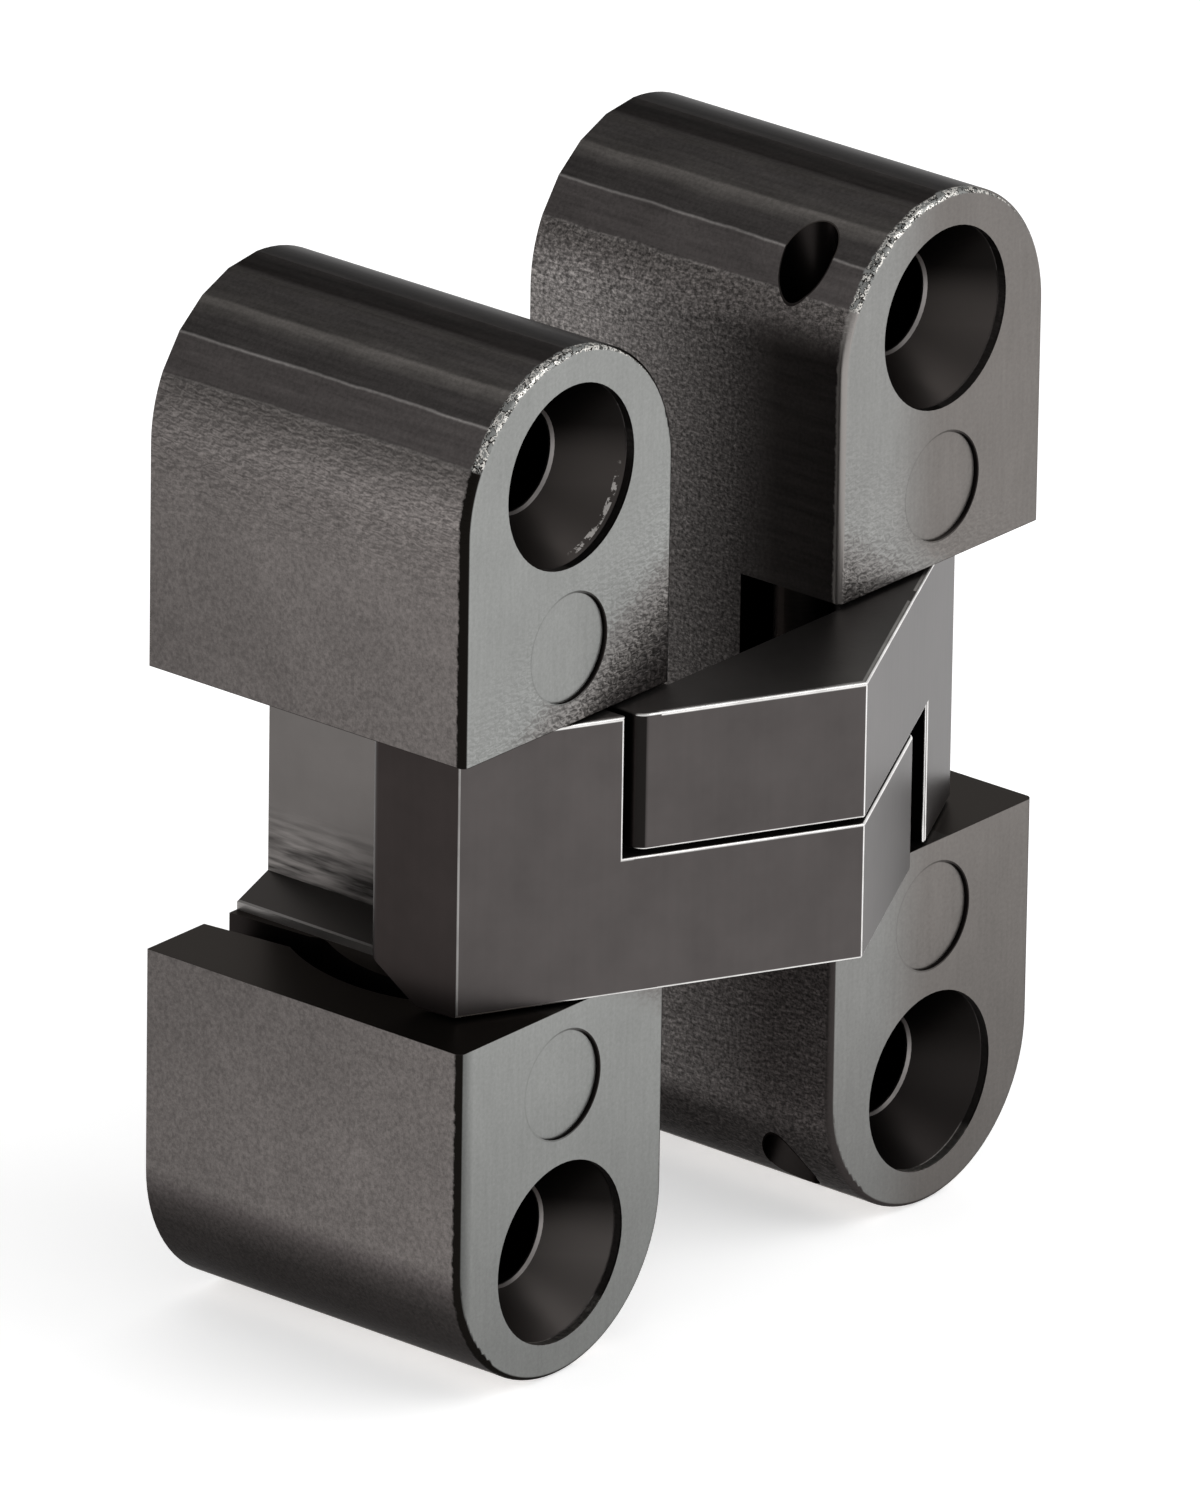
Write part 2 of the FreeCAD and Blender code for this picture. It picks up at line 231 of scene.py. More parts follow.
def arc_tones(tree, at):
    """Upper arc: painted shade by the angle of the flat strips, darker as they turn up, with painted
    highlight lines where two strips meet; lower arc: painted shade darker as it turns under, with a painted
    highlight where it turns furthest.
    """
    at.beside = add(tree, "ShaderNodeMath", {0: at.across, 1: LEAF_X}, operation="SUBTRACT")
    at.beside_size = add(tree, "ShaderNodeMath", {0: at.beside}, operation="ABSOLUTE")
    over = add(tree, "ShaderNodeMath", {0: at.height, 1: ARC_Z}, operation="SUBTRACT")
    angle = add(tree, "ShaderNodeMath", {0: over, 1: at.beside_size}, operation="ARCTAN2")
    waver = add(tree, "ShaderNodeMapRange", {0: at.cloud, 1: NOISE_LOW, 2: NOISE_HIGH, 3: -0.006, 4: 0.006})
    at.turn = add(tree, "ShaderNodeMath", {0: angle, 1: 2 / math.pi, 2: waver}, operation="MULTIPLY_ADD")
    # Painted shade and highlights: the strips darker as they turn up, bright lines where two strips meet
    painted_upper_arc_light = add(tree, "ShaderNodeValToRGB", {0: at.turn})
    one, two, three, four, _ = [strip / 90 for strip in STRIP_ANGLES]
    put_stops(painted_upper_arc_light, [
        (0.0, SIDE_PLATE), (0.03, "#6f6a68"), (0.11, "#6f6a68"),
        (one - 0.02, "#5b5755"), (one - 0.003, "#686462"),
        (one + 0.004, "#4d4948"), (two - 0.008, "#4d4948"), (two, "#8a8684"), (two + 0.008, "#413e3d"),
        (0.575, "#43403f"), (0.59, "#4e4b49"), (three, "#6a6663"), (0.665, "#4b4846"),
        (0.78, "#464342"), (four, "#464341"), (0.855, "#3d3a39"), (0.875, PAINTED_SHADE_PLATE),
        (0.955, "#2b2928"), (1.0, "#373433")])
    # Painted shade darker as the lower arc turns under, and a painted highlight where it turns furthest
    painted_lower_arc_light = add(tree, "ShaderNodeValToRGB", {0: at.turn})
    put_stops(painted_lower_arc_light, [
        (0.0, SIDE_PLATE), (0.06, "#585352"), (0.12, "#454140"), (0.22, "#363332"),
        (0.4, "#343130"), (0.6, "#3b3837"), (0.64, "#b5b0ac")])
    painted_arc_light = add(tree, "ShaderNodeMix", {
        0: at.is_upper, 6: painted_lower_arc_light, 7: painted_upper_arc_light}, output=2, data_type="RGBA")
    on_arc = add(tree, "ShaderNodeMath", {0: over, 1: 0.0}, operation="GREATER_THAN")
    colour = add(tree, "ShaderNodeMix", {
        0: on_arc, 6: linear(SIDE_PLATE), 7: painted_arc_light}, output=2, data_type="RGBA")
    on_strips = add(tree, "ShaderNodeMapRange", {0: at.turn, 1: one - 0.01, 2: one + 0.01})
    at.smooth_arc = add(tree, "ShaderNodeMath", {0: on_strips, 1: at.is_upper}, operation="MULTIPLY")
    at.smooth_arc = add(tree, "ShaderNodeMath", {0: at.smooth_arc, 1: on_arc}, operation="MULTIPLY")
    return colour


def gap_tones(tree, at, colour):
    """Sides in the gap between the leaves: painted shade below the arc, darker towards the face where the
    other leaf stands before them, and smooth by the face.
    """
    at.in_gap = add(tree, "ShaderNodeMath", {0: at.across, 1: LEAF_X}, operation="LESS_THAN")
    gap_depth = add(tree, "ShaderNodeMapRange", {0: at.depth, 1: SMOOTH_DEPTH, 2: GAP_PALE_DEPTH})
    # Painted shade: dark by the face, paler towards the back
    gap_front_painted_shade = add(tree, "ShaderNodeMix", {
        0: at.is_upper, 6: linear("#413d3c"), 7: linear("#343130")}, output=2, data_type="RGBA")
    gap_painted_shade = add(tree, "ShaderNodeMix", {
        0: gap_depth, 6: gap_front_painted_shade, 7: linear("#7d7977")}, output=2, data_type="RGBA")
    below_arc = add(tree, "ShaderNodeMapRange", {
        0: at.turn, 1: 0.26, 2: 0.05}, interpolation_type="SMOOTHSTEP")
    gap_low = add(tree, "ShaderNodeMath", {0: at.in_gap, 1: below_arc}, operation="MULTIPLY")
    colour = add(tree, "ShaderNodeMix", {0: gap_low, 6: colour, 7: gap_painted_shade}, output=2, data_type="RGBA")
    near_face = add(tree, "ShaderNodeMapRange", {
        0: at.depth, 1: GRAIN_DEPTH, 2: SMOOTH_DEPTH}, interpolation_type="SMOOTHSTEP")
    at.grainless = add(tree, "ShaderNodeMath", {0: gap_low, 1: near_face}, operation="MULTIPLY")
    at.grainless = add(tree, "ShaderNodeMath", {0: at.grainless, 1: at.is_upper}, operation="MULTIPLY")
    at.grainless = add(tree, "ShaderNodeMath", {0: at.grainless, 1: at.smooth_arc}, operation="MAXIMUM")
    at.on_back = add(tree, "ShaderNodeMapRange", {
        0: at.face_y, 1: 0.75, 2: 0.95}, interpolation_type="SMOOTHSTEP")
    at.grainless = add(tree, "ShaderNodeMath", {
        0: at.grainless, 1: at.on_back}, operation="SUBTRACT", use_clamp=True)
    film_tone = add(tree, "ShaderNodeMapRange", {0: at.grain, 1: TIGHT_LOW, 2: TIGHT_HIGH, 3: 0.84, 4: 1.16})
    film_tone = add(tree, "ShaderNodeMath", {0: film_tone, 1: at.cloud_tone}, operation="MULTIPLY")
    streak_place = add(tree, "ShaderNodeVectorMath", {0: at.place, 1: (1.0, 0.07, 1.0)}, operation="MULTIPLY")
    streaks = add(tree, "ShaderNodeTexNoise", {
        "Vector": streak_place, "Scale": 1 / STRIP_STREAK, "Detail": 3.0, "Roughness": 0.6})
    streak_tone = add(tree, "ShaderNodeMapRange", {0: streaks, 1: NOISE_LOW, 2: NOISE_HIGH, 3: 0.82, 4: 1.2})
    film_tone = add(tree, "ShaderNodeMath", {0: film_tone, 1: streak_tone}, operation="MULTIPLY")
    at.side_tone = add(tree, "ShaderNodeMix", {0: at.grainless, 2: at.side_tone, 3: film_tone})
    colour = add(tree, "ShaderNodeVectorMath", {0: colour, 3: at.side_tone}, operation="SCALE")
    return colour


def back_tones(tree, at, colour):
    """Backs of the castings, as they left the mould."""
    back_colour = add(tree, "ShaderNodeVectorMath", {
        0: linear(SIDE_PLATE)[:3], 3: at.side_tone}, operation="SCALE")
    colour = add(tree, "ShaderNodeMix", {
        0: at.on_back, 6: colour, 7: back_colour}, output=2, data_type="RGBA")
    return colour


def skin_tones(tree, at, colour):
    """Leathery skin under the strips, and over most of the gap side: painted light and shade on the wrinkles,
    crests pale and hollows dark, with coarse grain on the gap side.
    """
    under_strips = add(tree, "ShaderNodeMapRange", {
        0: at.height, 1: SKIN_LOW, 2: SKIN_HIGH}, interpolation_type="SMOOTHSTEP")
    under_strips = add(tree, "ShaderNodeMath", {0: under_strips, 1: at.is_upper}, operation="MULTIPLY")
    gap_skin = add(tree, "ShaderNodeMath", {0: at.in_gap, 1: 0.8}, operation="MULTIPLY")
    at.skin = add(tree, "ShaderNodeMath", {0: under_strips, 1: gap_skin}, operation="MAXIMUM")
    rough_side = add(tree, "ShaderNodeMath", {0: 1.0, 1: at.grainless}, operation="SUBTRACT")
    rough_side = add(tree, "ShaderNodeMath", {
        0: rough_side, 1: at.on_back}, operation="SUBTRACT", use_clamp=True)
    at.skin = add(tree, "ShaderNodeMath", {0: at.skin, 1: rough_side}, operation="MULTIPLY")
    # Painted light and shade on the wrinkles: crests pale, hollows dark
    wrinkle_painted_light = add(tree, "ShaderNodeMapRange", {0: at.wrinkle, 1: 0.34, 2: 0.66, 3: 0.9, 4: 1.1})
    wrinkle_painted_light = add(tree, "ShaderNodeMath", {0: wrinkle_painted_light, 1: at.side_light}, operation="MULTIPLY")
    gap_grain = add(tree, "ShaderNodeMapRange", {0: at.grain, 1: 0.36, 2: 0.66, 3: 0.6, 4: 1.5})
    gap_tone = add(tree, "ShaderNodeMix", {0: at.in_gap, 2: 1.0, 3: gap_grain})
    wrinkle_painted_light = add(tree, "ShaderNodeMath", {0: wrinkle_painted_light, 1: gap_tone}, operation="MULTIPLY")
    skin_shade = add(tree, "ShaderNodeMix", {0: at.skin, 2: 1.0, 3: wrinkle_painted_light})
    colour = add(tree, "ShaderNodeVectorMath", {0: colour, 3: skin_shade}, operation="SCALE")
    return colour


def face_tones(tree, at):
    """Front faces, ground flat: paler, with faint grinding lines and leathery towards the pocket corner;
    painted shade makes the lower blocks darker towards the bottom, the lower left block's outer edge darker,
    and the right leaf's face darker towards its outer side.
    """
    at.shallow = add(tree, "ShaderNodeMath", {0: at.depth, 1: FACE_DEPTH}, operation="LESS_THAN")
    forward = add(tree, "ShaderNodeMapRange", {
        0: at.face_y, 1: -0.75, 2: -0.95}, interpolation_type="SMOOTHSTEP")
    at.on_face = add(tree, "ShaderNodeMath", {0: forward, 1: at.shallow}, operation="MULTIPLY")
    ground_place = add(tree, "ShaderNodeVectorMath", {0: at.place, 1: (1.0, 1.0, 0.06)}, operation="MULTIPLY")
    ground = add(tree, "ShaderNodeTexNoise", {
        "Vector": ground_place, "Scale": 1 / GRINDING_LINE, "Detail": 2.0})
    ground_tone = add(tree, "ShaderNodeMapRange", {0: ground, 1: NOISE_LOW, 2: NOISE_HIGH, 3: 0.96, 4: 1.04})
    face_tone = add(tree, "ShaderNodeMapRange", {0: at.cloud, 1: NOISE_LOW, 2: NOISE_HIGH, 3: 0.95, 4: 1.04})
    face_tone = add(tree, "ShaderNodeMath", {0: ground_tone, 1: face_tone}, operation="MULTIPLY")
    speck = add(tree, "ShaderNodeMapRange", {0: at.grain, 1: TIGHT_LOW, 2: TIGHT_HIGH, 3: 0.92, 4: 1.08})
    face_tone = add(tree, "ShaderNodeMath", {0: face_tone, 1: speck}, operation="MULTIPLY")
    # Painted shade: the lower blocks darker towards the bottom
    downward = add(tree, "ShaderNodeMapRange", {
        0: at.level, 1: FACE_SHADE_START, 2: FACE_SHADE_FULL, 3: 1.0, 4: 0.74})
    face_tone = add(tree, "ShaderNodeMath", {0: face_tone, 1: downward}, operation="MULTIPLY")
    # Painted shade along the outer edge of the lower left block
    edge_shade = add(tree, "ShaderNodeMapRange", {
        0: at.x, 1: EDGE_SHADE_START, 2: EDGE_SHADE_FULL, 3: 0.0, 4: 0.5})
    is_lower = add(tree, "ShaderNodeMath", {0: 1.0, 1: at.is_upper}, operation="SUBTRACT")
    edge_shade = add(tree, "ShaderNodeMath", {0: edge_shade, 1: is_lower}, operation="MULTIPLY")
    edge_shade = add(tree, "ShaderNodeMath", {0: 1.0, 1: edge_shade}, operation="SUBTRACT")
    face_tone = add(tree, "ShaderNodeMath", {0: face_tone, 1: edge_shade}, operation="MULTIPLY")
    # Painted shade: the right leaf's face darker towards its outer side
    outward = add(tree, "ShaderNodeMapRange", {
        0: at.across, 1: RIGHT_SHADE_START, 2: RIGHT_SHADE_FULL}, interpolation_type="SMOOTHSTEP")
    right_face_painted_shade = add(tree, "ShaderNodeMix", {
        0: outward, 6: linear("#8b8b89"), 7: linear("#76726f")}, output=2, data_type="RGBA")
    at.face_colour = add(tree, "ShaderNodeMix", {
        0: at.is_right, 6: linear(FACE_PLATE), 7: right_face_painted_shade}, output=2, data_type="RGBA")
    at.face_colour = add(tree, "ShaderNodeVectorMath", {0: at.face_colour, 3: face_tone}, operation="SCALE")


def corner_tones(tree, at, colour):
    """Leathery corner of the face by the pocket and the gap, where the skin of the casting was left on:
    painted shade darkening towards the corner, and painted light and shade on the wrinkles.
    """
    from_mark = add(tree, "ShaderNodeVectorMath", {
        0: at.size, 1: (LEAF_X, 0.0, MARK_LEVEL)}, operation="SUBTRACT")
    from_mark = add(tree, "ShaderNodeVectorMath", {0: from_mark, 1: (1.0, 0.0, 1.0)}, operation="MULTIPLY")
    at.mark_radius = add(tree, "ShaderNodeVectorMath", {0: from_mark}, output=1, operation="LENGTH")
    in_mark = add(tree, "ShaderNodeMapRange", {
        0: at.mark_radius, 1: MARK_RADIUS + 0.05, 2: MARK_RADIUS - 0.05})
    corner = add(tree, "ShaderNodeMath", {0: at.across, 1: 0.6, 2: at.height}, operation="MULTIPLY_ADD")
    corner = add(tree, "ShaderNodeMath", {
        0: at.is_right, 1: CORNER_RIGHT_SHIFT, 2: corner}, operation="MULTIPLY_ADD")
    lower_corner = add(tree, "ShaderNodeMath", {
        0: at.is_upper, 1: -CORNER_LOWER_SHIFT, 2: CORNER_LOWER_SHIFT}, operation="MULTIPLY_ADD")
    corner = add(tree, "ShaderNodeMath", {0: corner, 1: lower_corner}, operation="ADD")
    skin_tone = add(tree, "ShaderNodeMapRange", {0: at.wrinkle, 1: 0.35, 2: 0.65, 3: -0.35, 4: 0.35})
    corner = add(tree, "ShaderNodeMath", {0: corner, 1: skin_tone}, operation="ADD")
    wide = add(tree, "ShaderNodeMapRange", {0: corner, 1: CORNER_SKIN_END, 2: CORNER_SKIN})
    corner = add(tree, "ShaderNodeMapRange", {0: corner, 1: CORNER_DARK, 2: CORNER_CLEAR})
    corner = add(tree, "ShaderNodeMath", {
        0: in_mark, 1: 0.92, 2: corner}, operation="MULTIPLY_ADD", use_clamp=True)
    at.leather = add(tree, "ShaderNodeMapRange", {0: corner, 1: 0.9, 2: 0.2}, interpolation_type="SMOOTHSTEP")
    wide = add(tree, "ShaderNodeMath", {0: wide, 1: in_mark}, operation="SUBTRACT", use_clamp=True)
    wide = add(tree, "ShaderNodeMath", {0: wide, 1: at.is_upper}, operation="MULTIPLY")
    at.leather = add(tree, "ShaderNodeMath", {
        0: wide, 1: 0.45, 2: at.leather}, operation="MULTIPLY_ADD", use_clamp=True)
    # Painted shade, darkest in the corner
    corner_painted_shade = add(tree, "ShaderNodeValToRGB", {0: corner})
    put_stops(corner_painted_shade, [
        (0.0, "#3b3837"), (0.2, "#4b4847"), (0.38, "#5e5b59"),
        (0.52, "#716e6c"), (0.72, "#7d7b79"), (1.0, FACE_PLATE)])
    # Painted light and shade on the wrinkles
    leather_painted_light = add(tree, "ShaderNodeMapRange", {0: at.wrinkle, 1: 0.36, 2: 0.64, 3: 0.8, 4: 1.2})
    leather_painted_light = add(tree, "ShaderNodeMath", {0: leather_painted_light, 1: at.crest_light}, operation="MULTIPLY")
    leather_painted_light = add(tree, "ShaderNodeMix", {0: at.leather, 2: 1.0, 3: leather_painted_light})
    off_corner = add(tree, "ShaderNodeMapRange", {0: corner, 1: 0.75, 2: 1.0})
    at.face_colour = add(tree, "ShaderNodeMix", {
        0: off_corner, 6: corner_painted_shade, 7: at.face_colour}, output=2, data_type="RGBA")
    at.face_colour = add(tree, "ShaderNodeVectorMath", {
        0: at.face_colour, 3: leather_painted_light}, operation="SCALE")
    colour = add(tree, "ShaderNodeMix", {
        0: at.on_face, 6: colour, 7: at.face_colour}, output=2, data_type="RGBA")
    return colour


def rim_tones(tree, at, colour):
    """Rim of the face: painted shade, black along the left leaf's edge and dark on the right lower block, a
    painted highlight along the right upper block's edge, and ragged chips round the upper arc whose bright
    flecks are partly painted glints.
    """
    at.ragged = add(tree, "ShaderNodeTexNoise", {
        "Vector": at.place, "Scale": 1 / CHIP, "Detail": 3.0, "Roughness": 0.7})
    ragged_depth = add(tree, "ShaderNodeMath", {0: at.ragged, 1: 0.3, 2: at.depth}, operation="MULTIPLY_ADD")
    ragged_depth = add(tree, "ShaderNodeMath", {
        0: at.is_upper, 1: -0.12, 2: ragged_depth}, operation="MULTIPLY_ADD")
    at.rim = add(tree, "ShaderNodeMapRange", {0: ragged_depth, 1: RIM_DEPTH + 0.1, 2: RIM_DEPTH})
    rim_lean = add(tree, "ShaderNodeMapRange", {0: at.face_y, 1: -0.97, 2: -0.9})
    at.rim = add(tree, "ShaderNodeMath", {0: at.rim, 1: rim_lean}, operation="MULTIPLY")
    from_hole = add(tree, "ShaderNodeVectorMath", {
        0: at.size, 1: (LEAF_X, 0.0, SCREW_LEVEL)}, operation="SUBTRACT")
    from_hole = add(tree, "ShaderNodeVectorMath", {0: from_hole, 1: (1.0, 0.0, 1.0)}, operation="MULTIPLY")
    at.hole_radius = add(tree, "ShaderNodeVectorMath", {0: from_hole}, output=1, operation="LENGTH")
    outside_head = add(tree, "ShaderNodeMapRange", {
        0: at.hole_radius, 1: HEAD_RADIUS + 0.22, 2: HEAD_RADIUS + 0.3})
    at.rim = add(tree, "ShaderNodeMath", {0: at.rim, 1: outside_head}, operation="MULTIPLY")
    # Ragged chips round the upper arc, their bright flecks partly painted glints
    chips = add(tree, "ShaderNodeValToRGB", {0: at.ragged})
    put_stops(chips, [
        (0.0, CHIPPED_PLATE), (0.44, CHIPPED_PLATE), (0.46, "#1d1b19"), (0.5, "#1d1b19"), (0.52, "#e4e1db"),
        (0.56, "#e4e1db"), (0.59, CHIPPED_PLATE), (1.0, CHIPPED_PLATE)])
    on_left = add(tree, "ShaderNodeMath", {0: at.facing_x, 1: 0.3}, operation="LESS_THAN")
    up_left = add(tree, "ShaderNodeMath", {0: at.smooth_arc, 1: on_left}, operation="MULTIPLY")
    # Painted shade along the rim, black on the left leaf and dark on the right lower block, and a painted
    # highlight on the right upper block
    painted_rim_light = add(tree, "ShaderNodeMix", {
        0: at.is_upper, 6: linear("#3a3635"), 7: linear("#8f8b88")}, output=2, data_type="RGBA")
    painted_rim_light = add(tree, "ShaderNodeMix", {
        0: at.is_right, 6: linear("#161412"), 7: painted_rim_light}, output=2, data_type="RGBA")
    painted_rim_light = add(tree, "ShaderNodeMix", {0: up_left, 6: painted_rim_light, 7: chips}, output=2, data_type="RGBA")
    colour = add(tree, "ShaderNodeMix", {0: at.rim, 6: colour, 7: painted_rim_light}, output=2, data_type="RGBA")
    return colour


def mark_tones(tree, at, colour):
    """Round casting marks: painted shade along the outline of each recessed mark, dark on the right and faint
    on the left.
    """
    painted_mark_shade = add(tree, "ShaderNodeMath", {
        0: at.mark_radius, 1: MARK_RADIUS, 2: MARK_LINE}, operation="COMPARE")
    painted_mark_shade = add(tree, "ShaderNodeMath", {0: painted_mark_shade, 1: at.shallow}, operation="MULTIPLY")
    hand = add(tree, "ShaderNodeMath", {0: at.is_right, 1: 2.0, 2: -1.0}, operation="MULTIPLY_ADD")
    at.rightward = add(tree, "ShaderNodeMath", {0: at.beside, 1: hand}, operation="MULTIPLY")
    mark_shade = add(tree, "ShaderNodeMapRange", {0: at.rightward, 1: -1.2, 2: 1.6, 3: 0.15, 4: 1.0})
    painted_mark_shade = add(tree, "ShaderNodeMath", {0: painted_mark_shade, 1: mark_shade}, operation="MULTIPLY")
    # Painted shade of the mark's recess wall
    colour = add(tree, "ShaderNodeMix", {
        0: painted_mark_shade, 6: colour, 7: linear(PAINTED_SHADE_PLATE)}, output=2, data_type="RGBA")
    return colour


def countersink_tones(tree, at, colour):
    """Countersinks, cut after casting: dark, with painted shade towards the top of each cone and on the right
    lower one, near black painted shade deep in the bore, a bright burr round the screw hole that is partly a
    painted highlight, and painted highlight flecks on the upper left one.
    """
    at.in_head = add(tree, "ShaderNodeMapRange", {
        0: at.hole_radius, 1: HEAD_RADIUS + 0.03, 2: HEAD_RADIUS - 0.03})
    sunk = add(tree, "ShaderNodeMapRange", {0: at.depth, 1: 0.02, 2: 0.1})
    at.in_head = add(tree, "ShaderNodeMath", {0: at.in_head, 1: sunk}, operation="MULTIPLY")
    at.in_head = add(tree, "ShaderNodeMath", {
        0: at.in_head, 1: at.on_back}, operation="SUBTRACT", use_clamp=True)
    upward = add(tree, "ShaderNodeMath", {0: at.height, 1: SCREW_LEVEL}, operation="SUBTRACT")
    sense = add(tree, "ShaderNodeMath", {0: at.is_upper, 1: 2.0, 2: -1.0}, operation="MULTIPLY_ADD")
    upward = add(tree, "ShaderNodeMath", {0: upward, 1: sense}, operation="MULTIPLY")
    # Painted shade: each cone darker towards its top, the right lower cone darker than the rest
    turned = add(tree, "ShaderNodeMapRange", {0: upward, 1: CONE_DARK_START, 2: CONE_DARK_FULL})
    cone_low = add(tree, "ShaderNodeMix", {
        0: at.is_right, 6: linear("#4b4745"), 7: linear("#282524")}, output=2, data_type="RGBA")
    cone_low = add(tree, "ShaderNodeMix", {
        0: at.is_upper, 6: cone_low, 7: linear("#3f3b39")}, output=2, data_type="RGBA")
    cone_colour = add(tree, "ShaderNodeMix", {
        0: turned, 6: cone_low, 7: linear("#1a1817")}, output=2, data_type="RGBA")
    # Bright burr round the screw hole, its brightness partly a painted highlight
    burr = add(tree, "ShaderNodeMath", {
        0: at.hole_radius, 1: HOLE_RADIUS + 0.04, 2: BURR_LINE}, operation="COMPARE")
    cone_colour = add(tree, "ShaderNodeMix", {
        0: burr, 6: cone_colour, 7: linear("#a5a09e")}, output=2, data_type="RGBA")
    # Painted highlight: bright flecks along the lower right of the upper left countersink's outer edge
    streak = add(tree, "ShaderNodeMath", {
        0: at.hole_radius, 1: HEAD_RADIUS - 0.14, 2: STREAK_LINE}, operation="COMPARE")
    streak_chips = add(tree, "ShaderNodeMapRange", {0: at.ragged, 1: 0.5, 2: 0.56, 3: 0.0, 4: 0.7})
    low_right = add(tree, "ShaderNodeMath", {0: at.rightward, 1: upward}, operation="SUBTRACT")
    low_right = add(tree, "ShaderNodeMapRange", {0: low_right, 1: 4.2, 2: 5.2})
    streak = add(tree, "ShaderNodeMath", {0: streak, 1: streak_chips}, operation="MULTIPLY")
    streak = add(tree, "ShaderNodeMath", {0: streak, 1: low_right}, operation="MULTIPLY")
    streak = add(tree, "ShaderNodeMath", {0: streak, 1: at.is_right}, operation="SUBTRACT", use_clamp=True)
    streak = add(tree, "ShaderNodeMath", {0: streak, 1: at.is_upper}, operation="MULTIPLY")
    cone_colour = add(tree, "ShaderNodeMix", {
        0: streak, 6: cone_colour, 7: linear("#c4c0bc")}, output=2, data_type="RGBA")
    # Painted shade: near black deep in the bore
    in_bore = add(tree, "ShaderNodeMath", {0: at.depth, 1: CONE_END + 0.1}, operation="GREATER_THAN")
    wall = add(tree, "ShaderNodeMath", {0: at.lean_y, 1: 0.3}, operation="LESS_THAN")
    cone_colour = add(tree, "ShaderNodeMix", {
        0: wall, 6: cone_colour, 7: linear("#6a6664")}, output=2, data_type="RGBA")
    cone_colour = add(tree, "ShaderNodeMix", {
        0: in_bore, 6: cone_colour, 7: linear("#0f0e0d")}, output=2, data_type="RGBA")
    colour = add(tree, "ShaderNodeMix", {
        0: at.in_head, 6: colour, 7: cone_colour}, output=2, data_type="RGBA")
    return colour


def pocket_tones(tree, at, colour):
    """Pocket, grooves and pin holes: painted shade, near black on walls and a little lighter on floors that
    face up; the ledge's top in painted shade, darker than its side.
    """
    at.low = add(tree, "ShaderNodeMath", {0: at.height, 1: POCKET_HALF_HEIGHT + 0.02}, operation="LESS_THAN")
    at.deep = add(tree, "ShaderNodeMath", {0: at.depth, 1: RIM_ROUND + 0.1}, operation="GREATER_THAN")
    within = add(tree, "ShaderNodeMath", {0: at.beside_size, 1: END_RADIUS - 0.05}, operation="LESS_THAN")
    by_groove = add(tree, "ShaderNodeMath", {0: at.height, 1: GROOVE_LEVEL + 0.02}, operation="LESS_THAN")
    at.inside = add(tree, "ShaderNodeMath", {0: at.deep, 1: within}, operation="MULTIPLY")
    at.inside = add(tree, "ShaderNodeMath", {0: at.inside, 1: by_groove}, operation="MULTIPLY")
    at.inside = add(tree, "ShaderNodeMath", {0: at.inside, 1: at.low}, operation="MAXIMUM")
    gap_side = add(tree, "ShaderNodeMath", {0: at.across, 1: GAP_X + 0.05}, operation="LESS_THAN")
    at.sideways = add(tree, "ShaderNodeMath", {0: at.lean_x, 1: 0.9}, operation="GREATER_THAN")
    gap_side = add(tree, "ShaderNodeMath", {0: gap_side, 1: at.sideways}, operation="MULTIPLY")
    at.inside = add(tree, "ShaderNodeMath", {0: at.inside, 1: gap_side}, operation="SUBTRACT", use_clamp=True)
    from_pin = add(tree, "ShaderNodeVectorMath", {
        0: at.size, 1: (PIVOT_X, PIVOT_DEPTH, 0.0)}, operation="SUBTRACT")
    from_pin = add(tree, "ShaderNodeVectorMath", {0: from_pin, 1: (1.0, 1.0, 0.0)}, operation="MULTIPLY")
    pin_radius = add(tree, "ShaderNodeVectorMath", {0: from_pin}, output=1, operation="LENGTH")
    in_pin_hole = add(tree, "ShaderNodeMath", {0: pin_radius, 1: PIN_HOLE_RADIUS}, operation="LESS_THAN")
    at.inside = add(tree, "ShaderNodeMath", {0: at.inside, 1: in_pin_hole}, operation="MAXIMUM")
    at.inside = add(tree, "ShaderNodeMath", {
        0: at.inside, 1: at.on_back}, operation="SUBTRACT", use_clamp=True)
    at.is_floor = add(tree, "ShaderNodeMath", {0: at.lean_z, 1: 0.7}, operation="GREATER_THAN")
    # Painted shade inside: near black walls, floors that face up a little lighter
    inside_painted_shade = add(tree, "ShaderNodeMix", {
        0: at.is_floor, 6: linear("#262322"), 7: linear("#3d3936")}, output=2, data_type="RGBA")
    colour = add(tree, "ShaderNodeMix", {
        0: at.inside, 6: colour, 7: inside_painted_shade}, output=2, data_type="RGBA")
    on_ledge = add(tree, "ShaderNodeMath", {0: at.across, 1: LEDGE_X + 0.02}, operation="LESS_THAN")
    on_ledge = add(tree, "ShaderNodeMath", {0: on_ledge, 1: at.low}, operation="MULTIPLY")
    # Painted shade on the ledge's top, its side paler
    ledge_painted_shade = add(tree, "ShaderNodeMix", {
        0: at.sideways, 6: linear("#4a4745"), 7: linear("#8a8785")}, output=2, data_type="RGBA")
    on_ledge = add(tree, "ShaderNodeMath", {0: on_ledge, 1: at.on_back}, operation="SUBTRACT", use_clamp=True)
    clear_of_gap = add(tree, "ShaderNodeMath", {0: at.across, 1: WEB_X - 0.05}, operation="GREATER_THAN")
    on_ledge = add(tree, "ShaderNodeMath", {0: on_ledge, 1: clear_of_gap}, operation="MULTIPLY")
    colour = add(tree, "ShaderNodeMix", {0: on_ledge, 6: colour, 7: ledge_painted_shade}, output=2, data_type="RGBA")
    return colour


